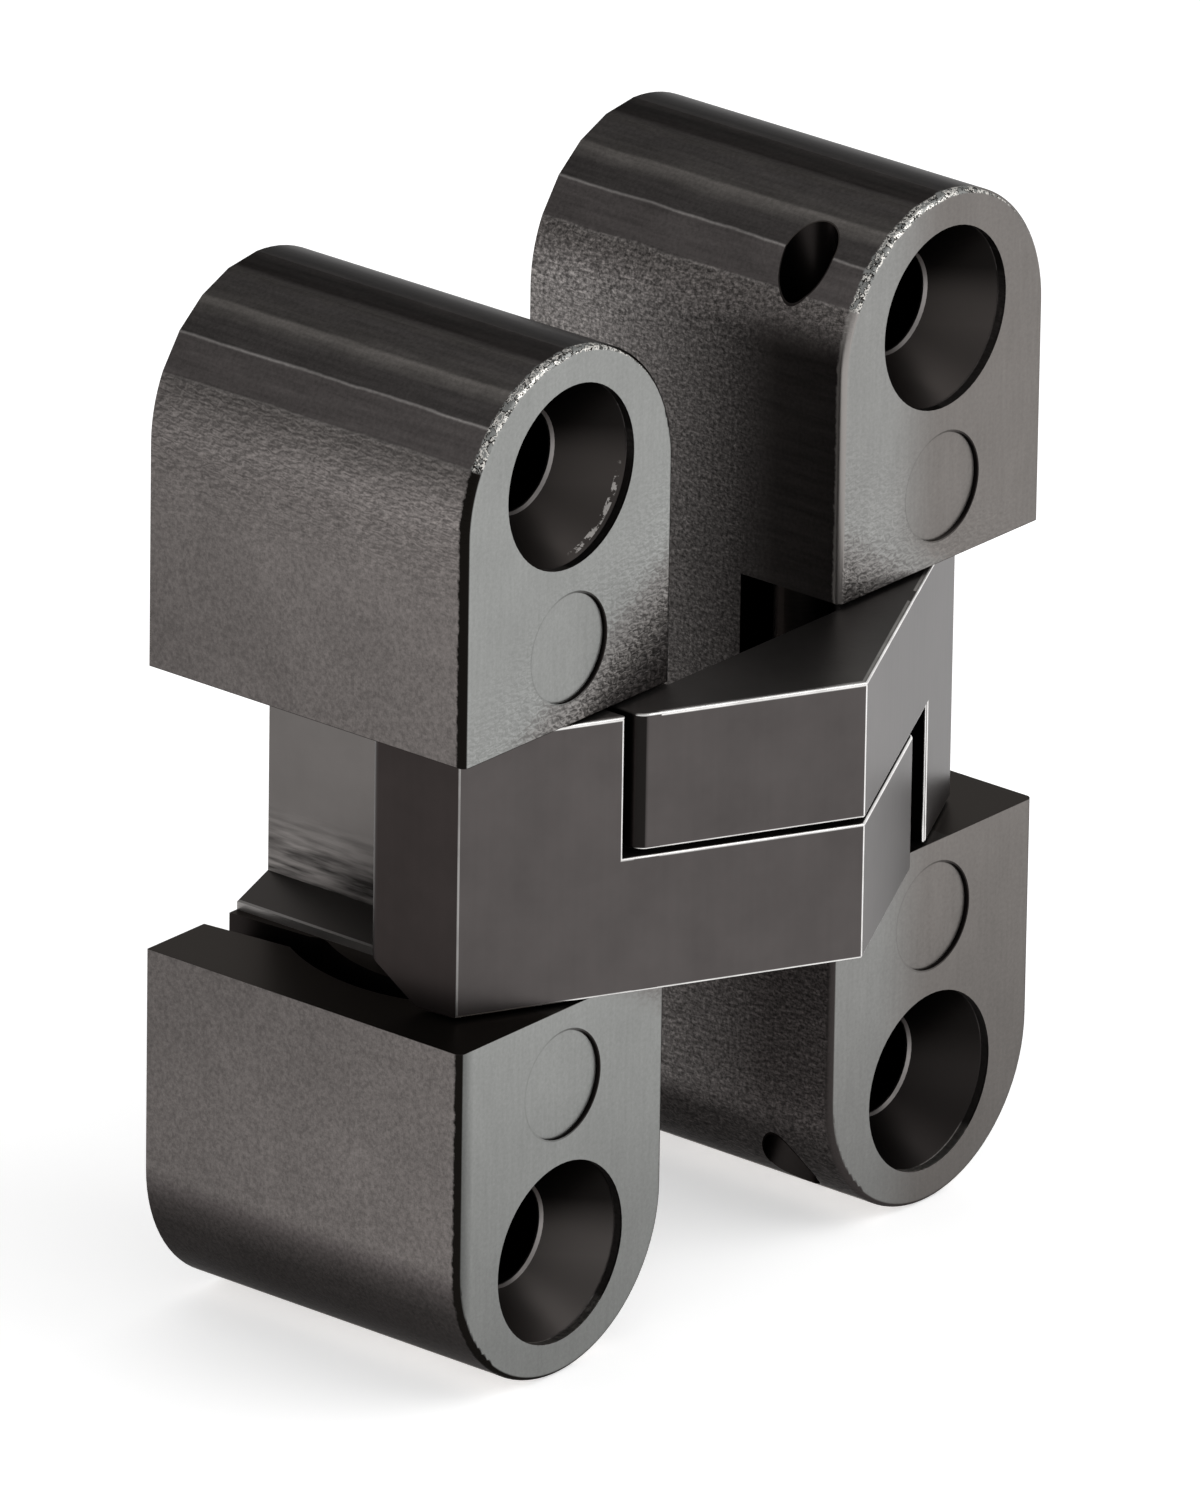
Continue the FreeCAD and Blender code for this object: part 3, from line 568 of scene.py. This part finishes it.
def web_tones(tree, at, colour):
    """Web of the pocket: grey, with drag marks of the mould slide low down, and a painted highlight along the
    ledge's edge.
    """
    on_web = add(tree, "ShaderNodeMath", {0: at.across, 1: WEB_X, 2: 0.04}, operation="COMPARE")
    on_web = add(tree, "ShaderNodeMath", {0: on_web, 1: at.sideways}, operation="MULTIPLY")
    on_web = add(tree, "ShaderNodeMath", {0: on_web, 1: at.low}, operation="MULTIPLY")
    drag_place = add(tree, "ShaderNodeMapping", {
        "Vector": at.place, "Rotation": (math.radians(-35), 0, 0), "Scale": (1.0, 0.18, 1.6)})
    drag = add(tree, "ShaderNodeTexNoise", {"Vector": drag_place, "Scale": 1 / DRAG_MARK, "Detail": 3.0})
    drag_low = add(tree, "ShaderNodeMapRange", {0: at.level, 1: DRAG_START, 2: DRAG_FULL})
    drag_tone = add(tree, "ShaderNodeMapRange", {0: drag, 1: 0.35, 2: 0.65, 3: -0.75, 4: 0.75})
    drag_tone = add(tree, "ShaderNodeMath", {0: drag_tone, 1: drag_low, 2: 1.0}, operation="MULTIPLY_ADD")
    drag_tone = add(tree, "ShaderNodeMath", {0: drag_tone, 1: at.cloud_tone}, operation="MULTIPLY")
    web_colour = add(tree, "ShaderNodeVectorMath", {
        0: linear("#726e6c")[:3], 3: drag_tone}, operation="SCALE")
    colour = add(tree, "ShaderNodeMix", {0: on_web, 6: colour, 7: web_colour}, output=2, data_type="RGBA")
    # Painted highlight along the ledge's edge
    ledge_highlight = add(tree, "ShaderNodeMath", {0: at.across, 1: LEDGE_X - 0.05, 2: 0.07}, operation="COMPARE")
    above_floor = add(tree, "ShaderNodeMath", {
        0: at.height, 1: POCKET_HALF_HEIGHT - 0.2}, operation="LESS_THAN")
    ledge_highlight = add(tree, "ShaderNodeMath", {0: ledge_highlight, 1: above_floor}, operation="MULTIPLY")
    ledge_highlight = add(tree, "ShaderNodeMath", {0: ledge_highlight, 1: at.deep}, operation="MULTIPLY")
    ledge_highlight = add(tree, "ShaderNodeMath", {0: ledge_highlight, 1: 0.8}, operation="MULTIPLY")
    colour = add(tree, "ShaderNodeMix", {
        0: ledge_highlight, 6: colour, 7: linear("#8b8886")}, output=2, data_type="RGBA")
    return colour


def relief_and_sheen(tree, at):
    """Relief: grain on the sides, wrinkles under the strips and in the leathery corner, else near none."""
    plain = add(tree, "ShaderNodeMath", {0: at.on_face, 1: at.inside}, operation="MAXIMUM")
    plain = add(tree, "ShaderNodeMath", {0: plain, 1: at.in_head}, operation="MAXIMUM")
    plain = add(tree, "ShaderNodeMath", {0: plain, 1: at.grainless}, operation="MAXIMUM")
    grain_height = add(tree, "ShaderNodeMapRange", {0: plain, 3: 1.0, 4: 0.06})
    grain_height = add(tree, "ShaderNodeMath", {0: grain_height, 1: at.grain}, operation="MULTIPLY")
    bare = add(tree, "ShaderNodeMath", {0: 1.0, 1: plain}, operation="SUBTRACT")
    wrinkled = add(tree, "ShaderNodeMath", {0: at.skin, 1: bare}, operation="MULTIPLY")
    leather_face = add(tree, "ShaderNodeMath", {0: at.leather, 1: at.on_face}, operation="MULTIPLY")
    wrinkled = add(tree, "ShaderNodeMath", {0: wrinkled, 1: leather_face}, operation="MAXIMUM")
    wrinkle_height = add(tree, "ShaderNodeMath", {0: at.wrinkle, 1: wrinkled}, operation="MULTIPLY")
    relief = add(tree, "ShaderNodeMath", {
        0: wrinkle_height, 1: 2.5, 2: grain_height}, operation="MULTIPLY_ADD")
    at.bump = add(tree, "ShaderNodeBump", {"Height": relief, "Strength": 0.6, "Distance": CAST_RELIEF * MM})
    at.rough = add(tree, "ShaderNodeMapRange", {0: plain, 3: 0.5, 4: 0.36})

    # Grey tint of the reflection at a grazing angle, darkened as painted shade on pocket walls and on the
    # right leaf's right rim
    painted_shade_mask = add(tree, "ShaderNodeMath", {0: at.inside, 1: at.is_floor}, operation="SUBTRACT", use_clamp=True)
    right_rim = add(tree, "ShaderNodeMath", {0: at.rim, 1: at.facing_x}, operation="MULTIPLY")
    right_rim = add(tree, "ShaderNodeMath", {
        0: right_rim, 1: at.is_right}, operation="MULTIPLY", use_clamp=True)
    painted_shade_mask = add(tree, "ShaderNodeMath", {0: painted_shade_mask, 1: right_rim}, operation="MAXIMUM")
    at.edge_tint = add(tree, "ShaderNodeMix", {
        0: painted_shade_mask, 6: linear("#bcbcbc"), 7: linear("#3c3c3c")}, output=2, data_type="RGBA")


def casting_material():
    """The leaves: zinc castings with the grain of the mould on their sides, faces that were ground flat after
    casting, and black nickel plate, which is pale on faces; painted highlights on edges and painted shade in
    holes and pockets."""
    material, tree = new_tree("black nickel plate on cast zinc")

    # What the areas of a leaf share: places, directions, patterns and the outlines of the areas
    at = SimpleNamespace()
    at.place, at.size, facing, lean = hinge_places(tree)
    at.x, at.depth, at.level = add(tree, "ShaderNodeSeparateXYZ", {0: at.place}).node.outputs
    at.across, _, at.height = add(tree, "ShaderNodeSeparateXYZ", {0: at.size}).node.outputs
    at.facing_x, at.face_y, _ = add(tree, "ShaderNodeSeparateXYZ", {0: facing}).node.outputs
    at.lean_x, at.lean_y, at.lean_z = add(tree, "ShaderNodeSeparateXYZ", {0: lean}).node.outputs
    at.is_upper = add(tree, "ShaderNodeMath", {0: at.level, 1: 0.0}, operation="GREATER_THAN")
    at.is_right = add(tree, "ShaderNodeMath", {0: at.x, 1: 0.0}, operation="GREATER_THAN")

    grain_patterns(tree, at)
    colour = arc_tones(tree, at)
    colour = gap_tones(tree, at, colour)
    colour = back_tones(tree, at, colour)
    colour = skin_tones(tree, at, colour)
    face_tones(tree, at)
    colour = corner_tones(tree, at, colour)
    colour = rim_tones(tree, at, colour)
    colour = mark_tones(tree, at, colour)
    colour = countersink_tones(tree, at, colour)
    colour = pocket_tones(tree, at, colour)
    colour = web_tones(tree, at, colour)
    relief_and_sheen(tree, at)

    shader = add(tree, "ShaderNodeBsdfPrincipled", {
        "Base Color": colour, "Metallic": 1.0, "Roughness": at.rough, "Normal": at.bump,
        "Specular Tint": at.edge_tint})
    add(tree, "ShaderNodeOutputMaterial", {"Surface": shader})
    return material


def link_material():
    """The crossing links: zinc castings, tumbled and plated satin black nickel, with painted light and shade
    by where each surface faces and painted highlights along the edges.
    """
    material, tree = new_tree("satin black nickel on tumbled zinc")
    place, size, facing, lean = hinge_places(tree)
    x, depth, level = add(tree, "ShaderNodeSeparateXYZ", {0: place}).node.outputs
    across, _, _ = add(tree, "ShaderNodeSeparateXYZ", {0: size}).node.outputs
    face_x, face_y, _ = add(tree, "ShaderNodeSeparateXYZ", {0: facing}).node.outputs
    lean_x, _, lean_z = add(tree, "ShaderNodeSeparateXYZ", {0: lean}).node.outputs

    # Depth behind the two slopes of the front, which meet in the ridge
    slope = math.tan(math.radians(ROOF_SLOPE))
    behind = add(tree, "ShaderNodeMath", {0: across, 1: -slope, 2: RIDGE_REACH}, operation="MULTIPLY_ADD")
    behind = add(tree, "ShaderNodeMath", {0: depth, 1: behind}, operation="ADD")
    by_roof = add(tree, "ShaderNodeMapRange", {0: behind, 1: ROOF_EDGE_DEPTH + 0.08, 2: ROOF_EDGE_DEPTH})

    # Clouds of the plating bath and upright draw lines
    cloud = add(tree, "ShaderNodeTexNoise", {
        "Vector": place, "Scale": 1 / LINK_CLOUD, "Detail": 4.0, "Roughness": 0.6})
    line_place = add(tree, "ShaderNodeVectorMath", {0: place, 1: (1.0, 1.0, 0.04)}, operation="MULTIPLY")
    lines = add(tree, "ShaderNodeTexNoise", {"Vector": line_place, "Scale": 1 / DRAW_LINE, "Detail": 2.0})
    cloud_tone = add(tree, "ShaderNodeMapRange", {0: cloud, 1: NOISE_LOW, 2: NOISE_HIGH, 3: 0.88, 4: 1.1})
    line_tone = add(tree, "ShaderNodeMapRange", {0: lines, 1: NOISE_LOW, 2: NOISE_HIGH, 3: 0.98, 4: 1.02})
    tone = add(tree, "ShaderNodeMath", {0: cloud_tone, 1: line_tone}, operation="MULTIPLY")

    # Painted light and shade by where each surface faces: slopes of the front, tops darker than fronts and
    # darker towards the right, backs dark, ends darkest
    to_right = add(tree, "ShaderNodeMapRange", {0: face_x, 1: -0.2, 2: 0.2})
    off_ridge = add(tree, "ShaderNodeMapRange", {0: across, 1: RIDGE_FADE_START, 2: RIDGE_FADE_END})
    right_slope_painted_light = add(tree, "ShaderNodeMix", {
        0: off_ridge, 6: linear("#4c4847"), 7: linear("#464241")}, output=2, data_type="RGBA")
    colour = add(tree, "ShaderNodeMix", {
        0: to_right, 6: linear("#524e4d"), 7: right_slope_painted_light}, output=2, data_type="RGBA")
    is_end = add(tree, "ShaderNodeMapRange", {0: lean_x, 1: 0.7, 2: 0.9})
    colour = add(tree, "ShaderNodeMix", {
        0: is_end, 6: colour, 7: linear("#322d2c")}, output=2, data_type="RGBA")
    is_top = add(tree, "ShaderNodeMapRange", {0: lean_z, 1: 0.4, 2: 0.8})
    top_share = add(tree, "ShaderNodeMapRange", {0: x, 1: TOP_FADE_START, 2: TOP_FADE_END})
    top_painted_shade = add(tree, "ShaderNodeMix", {
        0: top_share, 6: linear("#676462"), 7: linear("#454241")}, output=2, data_type="RGBA")
    colour = add(tree, "ShaderNodeMix", {0: is_top, 6: colour, 7: top_painted_shade}, output=2, data_type="RGBA")
    is_back = add(tree, "ShaderNodeMapRange", {0: face_y, 1: 0.1, 2: 0.4})
    colour = add(tree, "ShaderNodeMix", {
        0: is_back, 6: colour, 7: linear("#3d3938")}, output=2, data_type="RGBA")
    colour = add(tree, "ShaderNodeVectorMath", {0: colour, 3: tone}, operation="SCALE")

    # Painted highlights on the edges: the small rounds round the front, which face neither along a slope nor
    # straight up; painted shade on the rounded ends of the arms, and dimmer highlights on the root's edges
    tilted = add(tree, "ShaderNodeMapRange", {0: lean_z, 1: 0.12, 2: 0.3})
    not_flat = add(tree, "ShaderNodeMapRange", {0: lean_z, 1: 0.98, 2: 0.9})
    level_edge = add(tree, "ShaderNodeMath", {0: tilted, 1: not_flat}, operation="MULTIPLY")
    slope_lean = add(tree, "ShaderNodeVectorMath", {
        0: lean, 1: (math.sin(math.radians(ROOF_SLOPE)), math.cos(math.radians(ROOF_SLOPE)), 0.0)},
        output=1, operation="DOT_PRODUCT")
    off_slope = add(tree, "ShaderNodeMapRange", {0: slope_lean, 1: 0.997, 2: 0.98})
    off_end = add(tree, "ShaderNodeMapRange", {0: lean_x, 1: 0.99, 2: 0.95})
    off_top = add(tree, "ShaderNodeMapRange", {0: lean_z, 1: 0.3, 2: 0.1})
    upright_edge = add(tree, "ShaderNodeMath", {0: off_slope, 1: off_end}, operation="MULTIPLY")
    upright_edge = add(tree, "ShaderNodeMath", {0: upright_edge, 1: off_top}, operation="MULTIPLY")
    edge = add(tree, "ShaderNodeMath", {0: level_edge, 1: upright_edge}, operation="MAXIMUM")
    edge = add(tree, "ShaderNodeMath", {0: edge, 1: by_roof}, operation="MULTIPLY")
    arm_end = add(tree, "ShaderNodeMath", {
        0: across, 1: ARM_END_X - 0.35, 2: ARM_END_REACH}, operation="COMPARE")
    painted_arm_end_shade = add(tree, "ShaderNodeMath", {0: arm_end, 1: upright_edge}, operation="MULTIPLY")
    # Painted shade on the rounded ends of the arms
    colour = add(tree, "ShaderNodeMix", {
        0: painted_arm_end_shade, 6: colour, 7: linear("#1f1d1c")}, output=2, data_type="RGBA")
    edge = add(tree, "ShaderNodeMath", {0: edge, 1: painted_arm_end_shade}, operation="SUBTRACT", use_clamp=True)
    root_edge = add(tree, "ShaderNodeMath", {0: across, 1: ROOT_EDGE_X}, operation="GREATER_THAN")
    root_edge = add(tree, "ShaderNodeMath", {0: root_edge, 1: upright_edge}, operation="MULTIPLY")
    root_edge = add(tree, "ShaderNodeMath", {0: root_edge, 1: 0.72}, operation="MULTIPLY")
    edge = add(tree, "ShaderNodeMath", {0: edge, 1: root_edge}, operation="SUBTRACT", use_clamp=True)
    by_top = add(tree, "ShaderNodeMapRange", {
        0: level, 1: LINK_HALF_HEIGHT - TOP_EDGE_DEPTH - 0.05, 2: LINK_HALF_HEIGHT - TOP_EDGE_DEPTH})
    top_edge = add(tree, "ShaderNodeMath", {0: by_top, 1: by_roof}, operation="MULTIPLY")
    top_edge = add(tree, "ShaderNodeMath", {0: top_edge, 1: arm_end}, operation="SUBTRACT", use_clamp=True)
    top_edge = add(tree, "ShaderNodeMath", {0: top_edge, 1: to_right}, operation="SUBTRACT", use_clamp=True)
    edge = add(tree, "ShaderNodeMath", {0: edge, 1: top_edge}, operation="MAXIMUM")
    highlight_breakup = add(tree, "ShaderNodeTexNoise", {"Vector": place, "Scale": 1 / HIGHLIGHT_PATCH, "Detail": 2.0})
    highlight_tone = add(tree, "ShaderNodeMapRange", {0: highlight_breakup, 1: 0.35, 2: 0.6, 3: 0.75, 4: 1.0})
    edge = add(tree, "ShaderNodeMath", {0: edge, 1: highlight_tone}, operation="MULTIPLY")
    # Painted highlights along the edges
    colour = add(tree, "ShaderNodeMix", {
        0: edge, 6: colour, 7: linear("#f0eeec")}, output=2, data_type="RGBA")
    rough = add(tree, "ShaderNodeMapRange", {0: edge, 3: 0.38, 4: 0.25})
    bump = add(tree, "ShaderNodeBump", {"Height": lines, "Strength": 0.3, "Distance": FINE_RELIEF * MM})

    shader = add(tree, "ShaderNodeBsdfPrincipled", {
        "Base Color": colour, "Metallic": 1.0, "Roughness": rough, "Normal": bump})
    add(tree, "ShaderNodeOutputMaterial", {"Surface": shader})
    return material


def pin_material():
    """The pins: ground steel rod, oiled black, with fine rings of the grinding wheel round it."""
    material, tree = new_tree("blackened ground steel")
    place, _, _, _ = hinge_places(tree)
    ring_place = add(tree, "ShaderNodeVectorMath", {0: place, 1: (0.1, 0.1, 1.0)}, operation="MULTIPLY")
    rings = add(tree, "ShaderNodeTexNoise", {"Vector": ring_place, "Scale": 1 / GRINDING_RING, "Detail": 2.0})
    colour = add(tree, "ShaderNodeMix", {
        0: rings, 6: linear("#282524"), 7: linear("#363230")}, output=2, data_type="RGBA")
    bump = add(tree, "ShaderNodeBump", {"Height": rings, "Strength": 0.3, "Distance": FINE_RELIEF * MM})
    shader = add(tree, "ShaderNodeBsdfPrincipled", {
        "Base Color": colour, "Metallic": 1.0, "Roughness": 0.5, "Normal": bump,
        "Specular Tint": linear("#000000")})
    add(tree, "ShaderNodeOutputMaterial", {"Surface": shader})
    return material


def studio():
    """A pale paper floor that glows a little where it is seen, and a tent of light that fades overhead."""
    scene = bpy.context.scene
    scene.view_settings.view_transform = "Standard"
    floor_size = 4.0
    half = floor_size / 2
    mesh = bpy.data.meshes.new("floor")
    corners = [(-half, -half, 0), (half, -half, 0), (half, half, 0), (-half, half, 0)]
    mesh.from_pydata(corners, [], [(0, 1, 2, 3)])
    floor = bpy.data.objects.new("floor", mesh)
    scene.collection.objects.link(floor)
    material, tree = new_tree("white paper sweep")
    paper = add(tree, "ShaderNodeBsdfPrincipled", {"Base Color": linear("#f4f4f4"), "Roughness": 0.95})
    light_path = add(tree, "ShaderNodeLightPath").node.outputs
    seen = add(tree, "ShaderNodeMath", {
        0: light_path["Is Camera Ray"], 1: light_path["Is Glossy Ray"]}, operation="ADD")
    seen = add(tree, "ShaderNodeMath", {0: seen, 1: light_path["Is Transmission Ray"]}, operation="ADD")
    lift = add(tree, "ShaderNodeMath", {0: seen, 1: FLOOR_LIFT}, operation="MULTIPLY")
    glow = add(tree, "ShaderNodeEmission", {"Color": linear("#ffffff"), "Strength": lift})
    sweep = add(tree, "ShaderNodeAddShader", {0: paper, 1: glow})
    add(tree, "ShaderNodeOutputMaterial", {"Surface": sweep})
    mesh.materials.append(material)
    world = bpy.data.worlds.new("studio")
    scene.world = world
    world.use_nodes = True
    tree = world.node_tree
    tree.nodes.clear()
    direction = add(tree, "ShaderNodeTexCoord", output="Generated")
    _, _, rise = add(tree, "ShaderNodeSeparateXYZ", {0: direction}).node.outputs
    brightness = add(tree, "ShaderNodeMapRange", {0: rise, 1: 0.0, 2: 1.0, 3: TENT_LOW, 4: TENT_HIGH})
    sky = add(tree, "ShaderNodeBackground", {"Color": linear("#ffffff"), "Strength": brightness})
    add(tree, "ShaderNodeOutputWorld", {"Surface": sky})


def camera():
    """The camera stands back along azimuth and elevation from the point it aims at."""
    a = math.radians(AZIMUTH)
    e = math.radians(ELEVATION)
    right = Vector((math.cos(a), math.sin(a), 0))
    back = Vector((math.sin(a) * math.cos(e), -math.cos(a) * math.cos(e), math.sin(e)))
    up = back.cross(right)
    aim = Vector((0, FACE_Y, MIDDLE_Z)) + right * AIM_ASIDE + up * AIM_UP
    data = bpy.data.cameras.new("camera")
    data.lens = PIXELS_PER_MM * DISTANCE * SENSOR / IMAGE_HEIGHT
    data.sensor_width = SENSOR
    data.clip_end = 20.0
    body = bpy.data.objects.new("camera", data)
    turn = Matrix((right, up, back)).transposed()
    roll = Matrix.Rotation(math.radians(ROLL), 3, "Z")
    body.matrix_world = Matrix.Translation((aim + back * DISTANCE) * MM) @ (turn @ roll).to_4x4()
    bpy.context.scene.collection.objects.link(body)
    bpy.context.scene.camera = body


def soft_box(name, direction, distance, size, watts):
    """A square soft light at a distance in metres along a direction, turned towards the hinge."""
    data = bpy.data.lights.new(name, "AREA")
    data.size = size
    data.energy = watts
    body = bpy.data.objects.new(name, data)
    along = Vector(direction).normalized()
    body.location = along * distance
    body.rotation_euler = along.to_track_quat("Z", "Y").to_euler()
    bpy.context.scene.collection.objects.link(body)


# Brightness of the floor's own glow, and of the tent at the horizon and overhead
FLOOR_LIFT = 0.48
TENT_LOW = 1.0
TENT_HIGH = 0.45

studio()
camera()
soft_box("soft box on the right of the camera", direction=(0.45, -0.75, 0.75), distance=1.2,
         size=1.0, watts=5.0)

finishes = {"casting": casting_material(), "link": link_material(), "pin": pin_material()}
for node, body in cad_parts.items():
    kind = "casting" if "leaf" in node else "link" if "link" in node else "pin"
    body.material_slots[0].material = finishes[kind]
